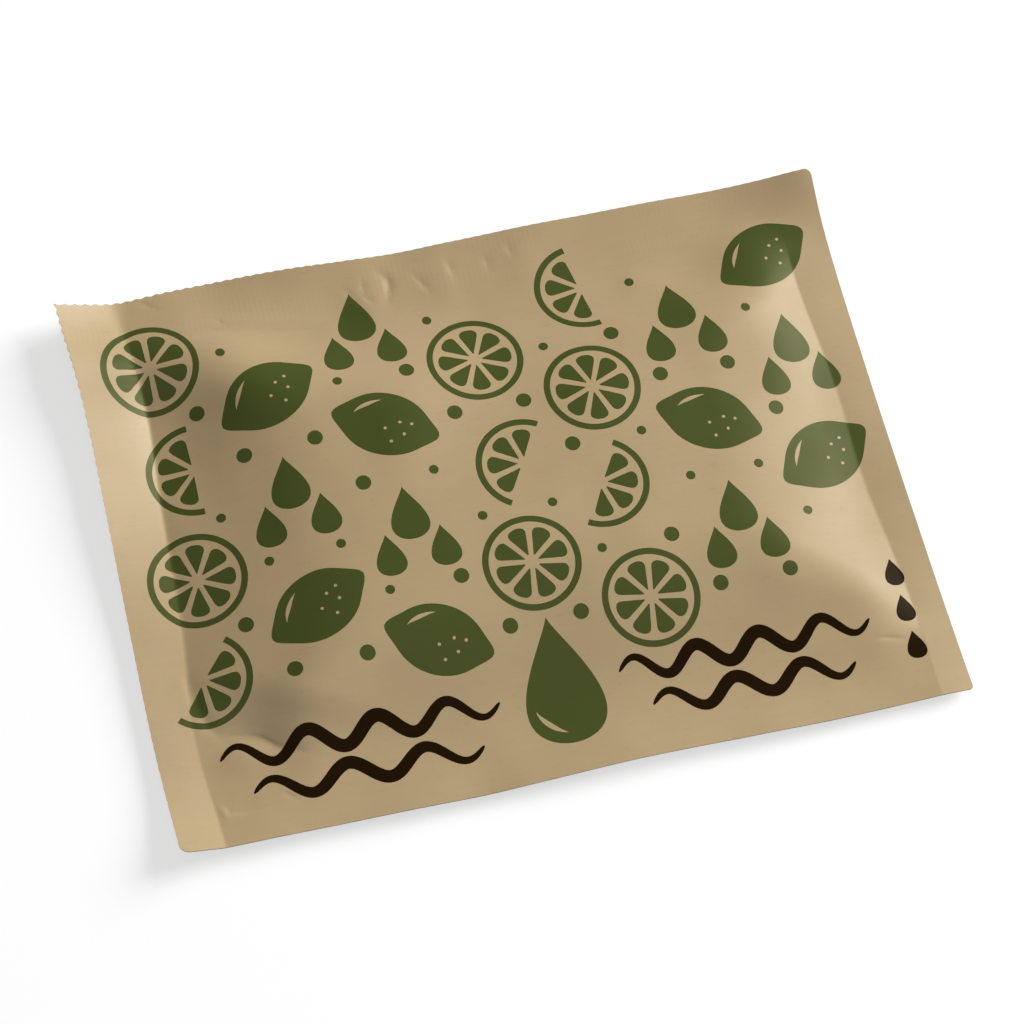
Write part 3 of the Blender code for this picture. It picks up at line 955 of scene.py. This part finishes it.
def ranged(tree, value, low, high):
    """A value as a smooth share of the way from low to high."""
    made = node(tree, "ShaderNodeMapRange", interpolation_type="SMOOTHSTEP")
    connect(tree, made.inputs["Value"], value)
    made.inputs["From Min"].default_value = low
    made.inputs["From Max"].default_value = high
    return made.outputs["Result"]


def noise(tree, place, scales, layers, strength):
    """Noise from about 0 to 1, with its own scale per millimetre along x, y and z."""
    stretch = node(tree, "ShaderNodeMapping")
    tree.links.new(place, stretch.inputs["Vector"])
    stretch.inputs["Scale"].default_value = [scale / MM for scale in scales]
    texture = node(tree, "ShaderNodeTexNoise")
    tree.links.new(stretch.outputs["Vector"], texture.inputs["Vector"])
    texture.inputs["Scale"].default_value = 1.0
    texture.inputs["Detail"].default_value = layers
    texture.inputs["Roughness"].default_value = strength
    return texture.outputs["Fac"]


def film_shade(tree, place):
    """Brightness of the paper face: long fibres along the film, short flecks and soft mottling."""
    fibres = noise(tree, place, *FIBRES)
    flecks = ranged(tree, noise(tree, place, *FLECKS), *FLECK_RANGE)
    mottle = maths(tree, "SUBTRACT", noise(tree, place, *MOTTLE), 0.5)
    shade = maths(tree, "MULTIPLY_ADD", fibres, 2 * FIBRE_SHADE, 1 - FIBRE_SHADE)
    shade = maths(tree, "MULTIPLY_ADD", flecks, -FLECK_SHADE, shade)
    return maths(tree, "MULTIPLY_ADD", mottle, 2 * MOTTLE_SHADE, shade)


def film_relief(tree, place):
    """Height in millimetres of the paper's grain, and of the ribs that a sealing bar leaves in
    patches along the top seal."""
    grain = noise(tree, place, *GRAIN)
    axes = node(tree, "ShaderNodeSeparateXYZ")
    tree.links.new(place, axes.inputs["Vector"])
    ribs = maths(tree, "SINE", maths(tree, "MULTIPLY", axes.outputs["X"], math.tau / RIB_PITCH / MM))
    inner_edge = (WIDTH / 2 - TOP_SEAL) * MM
    half_fade = RIB_FADE / 2 * MM
    in_seal = ranged(tree, axes.outputs["Y"], inner_edge - half_fade, inner_edge + half_fade)
    patches = ranged(tree, noise(tree, place, *RIB_PATCHES), *RIB_PATCH_RANGE)
    ribs = maths(tree, "MULTIPLY", maths(tree, "MULTIPLY", ribs, in_seal), patches)
    return maths(tree, "ADD", maths(tree, "MULTIPLY", grain, GRAIN_HEIGHT),
                 maths(tree, "MULTIPLY", ribs, RIB_HEIGHT / 2))


def film_material(name, colour, specular, tint):
    """Paper-faced film or ink on it: fibres and mottling, uneven satin gloss, grain and ribs."""
    material = bpy.data.materials.new(name)
    material.use_nodes = True
    tree = material.node_tree
    shader = tree.nodes["Principled BSDF"]
    place = node(tree, "ShaderNodeTexCoord").outputs["Object"]
    shaded = node(tree, "ShaderNodeHueSaturation")
    shaded.inputs["Color"].default_value = linear(colour)
    tree.links.new(film_shade(tree, place), shaded.inputs["Value"])
    tree.links.new(shaded.outputs["Color"], shader.inputs["Base Color"])
    roughness = maths(tree, "MULTIPLY_ADD", noise(tree, place, *GLOSS), ROUGHNESS_VARIATION,
                      ROUGHNESS - ROUGHNESS_VARIATION / 2)
    tree.links.new(roughness, shader.inputs["Roughness"])
    shader.inputs["Specular IOR Level"].default_value = specular
    shader.inputs["Specular Tint"].default_value = (*tint, 1)
    bump = node(tree, "ShaderNodeBump")
    bump.inputs["Distance"].default_value = MM
    tree.links.new(film_relief(tree, place), bump.inputs["Height"])
    tree.links.new(bump.outputs["Normal"], shader.inputs["Normal"])
    return material


def edge_material():
    """Bare paper and plastic where the film is cut."""
    material = bpy.data.materials.new("cut_edge")
    material.use_nodes = True
    tree = material.node_tree
    shader = tree.nodes["Principled BSDF"]
    place = node(tree, "ShaderNodeTexCoord").outputs["Object"]
    shaded = node(tree, "ShaderNodeHueSaturation")
    shaded.inputs["Color"].default_value = linear(CUT_EDGE_COLOUR)
    shade = maths(tree, "MULTIPLY_ADD", noise(tree, place, *FUZZ), FUZZ_SHADE, 1 - FUZZ_SHADE / 2)
    tree.links.new(shade, shaded.inputs["Value"])
    tree.links.new(shaded.outputs["Color"], shader.inputs["Base Color"])
    shader.inputs["Roughness"].default_value = EDGE_ROUGHNESS
    return material


# Studio

def make_camera(middle):
    """The camera, with the photograph's direction, roll and lens."""
    azimuth = math.radians(CAMERA_AZIMUTH)
    elevation = math.radians(CAMERA_ELEVATION)
    roll = math.radians(CAMERA_ROLL)
    back = Vector((math.sin(azimuth) * math.cos(elevation),
                   -math.cos(azimuth) * math.cos(elevation), math.sin(elevation)))
    level = Vector((math.cos(azimuth), math.sin(azimuth), 0))
    upright = back.cross(level)
    right = level * math.cos(roll) + upright * math.sin(roll)
    up = back.cross(right)
    aim = Vector(CAMERA_AIM) - Vector((middle[0], middle[1], 0))
    camera = bpy.data.objects.new("camera", bpy.data.cameras.new("camera"))
    camera.data.lens = CAMERA_LENS
    camera.data.clip_start = CAMERA_CLIP
    turn = Matrix((right, up, back)).transposed().to_4x4()
    camera.matrix_world = Matrix.Translation((aim + back * CAMERA_DISTANCE) * MM) @ turn
    bpy.context.scene.collection.objects.link(camera)
    bpy.context.scene.camera = camera


def make_light(name, direction, distance, size, power):
    """A square soft light that shines at the middle of the scene."""
    light = bpy.data.lights.new(name, "AREA")
    light.energy = power
    light.size = size
    lamp = bpy.data.objects.new(name, light)
    lamp.location = direction.normalized() * distance
    lamp.rotation_euler = direction.to_track_quat("Z", "Y").to_euler()
    bpy.context.scene.collection.objects.link(lamp)


def seen_directly(tree):
    """1 for rays from the camera and for those that a surface reflects or lets through."""
    path = node(tree, "ShaderNodeLightPath").outputs
    seen = maths(tree, "MAXIMUM", path["Is Camera Ray"], path["Is Glossy Ray"])
    return maths(tree, "MAXIMUM", seen, path["Is Transmission Ray"])


def make_world():
    """Weak, even light from all round, which looks white where it is seen just above the floor."""
    world = bpy.data.worlds.new("studio")
    world.use_nodes = True
    tree = world.node_tree
    background = tree.nodes["Background"]
    background.inputs["Color"].default_value = (1, 1, 1, 1)
    axes = node(tree, "ShaderNodeSeparateXYZ")
    tree.links.new(node(tree, "ShaderNodeTexCoord").outputs["Generated"], axes.inputs["Vector"])
    low = maths(tree, "SUBTRACT", 1.0, ranged(tree, axes.outputs["Z"], *WORLD_FADE))
    white = maths(tree, "MULTIPLY", low, seen_directly(tree))
    strength = maths(tree, "MULTIPLY_ADD", white, 1 - WORLD_STRENGTH, WORLD_STRENGTH)
    tree.links.new(strength, background.inputs["Strength"])
    bpy.context.scene.world = world


def make_floor():
    """A plain white floor that keeps the sachet's shadow."""
    half = FLOOR_HALF
    corners = [(-half, -half, 0), (half, -half, 0), (half, half, 0), (-half, half, 0)]
    mesh = bpy.data.meshes.new("floor")
    mesh.from_pydata(corners, [], [(0, 1, 2, 3)])
    material = bpy.data.materials.new("floor")
    material.use_nodes = True
    tree = material.node_tree
    shader = tree.nodes["Principled BSDF"]
    shader.inputs["Base Color"].default_value = (FLOOR_COLOUR, FLOOR_COLOUR, FLOOR_COLOUR, 1)
    shader.inputs["Roughness"].default_value = 1.0
    shader.inputs["Specular IOR Level"].default_value = 0.0
    shader.inputs["Emission Color"].default_value = (1, 1, 1, 1)
    glow = maths(tree, "MULTIPLY", seen_directly(tree), FLOOR_GLOW)
    tree.links.new(glow, shader.inputs["Emission Strength"])
    mesh.materials.append(material)
    floor = bpy.data.objects.new("floor", mesh)
    floor.location.z = -FLOOR_GAP * MM
    bpy.context.scene.collection.objects.link(floor)


def main():
    """The sachet's visible shell and the studio."""
    materials = [film_material("kraft_film", KRAFT_COLOUR, FILM_SPECULAR, FILM_TINT),
                 film_material("green_ink", GREEN_COLOUR, GREEN_SPECULAR, GREEN_TINT),
                 film_material("brown_ink", BROWN_COLOUR, BROWN_SPECULAR, BROWN_TINT),
                 edge_material()]
    outline = cut_outline()
    corners = np.array([tuple(point) for point in outline])
    middle = (corners.min(axis=0) + corners.max(axis=0)) / 2
    shell = make_shell(outline, middle, materials)
    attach(shell, "root")
    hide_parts("sachet")
    make_camera(middle)
    make_light("key", *KEY_LIGHT)
    make_light("fill", *FILL_LIGHT)
    make_world()
    make_floor()
    bpy.context.scene.view_settings.view_transform = "Standard"


main()
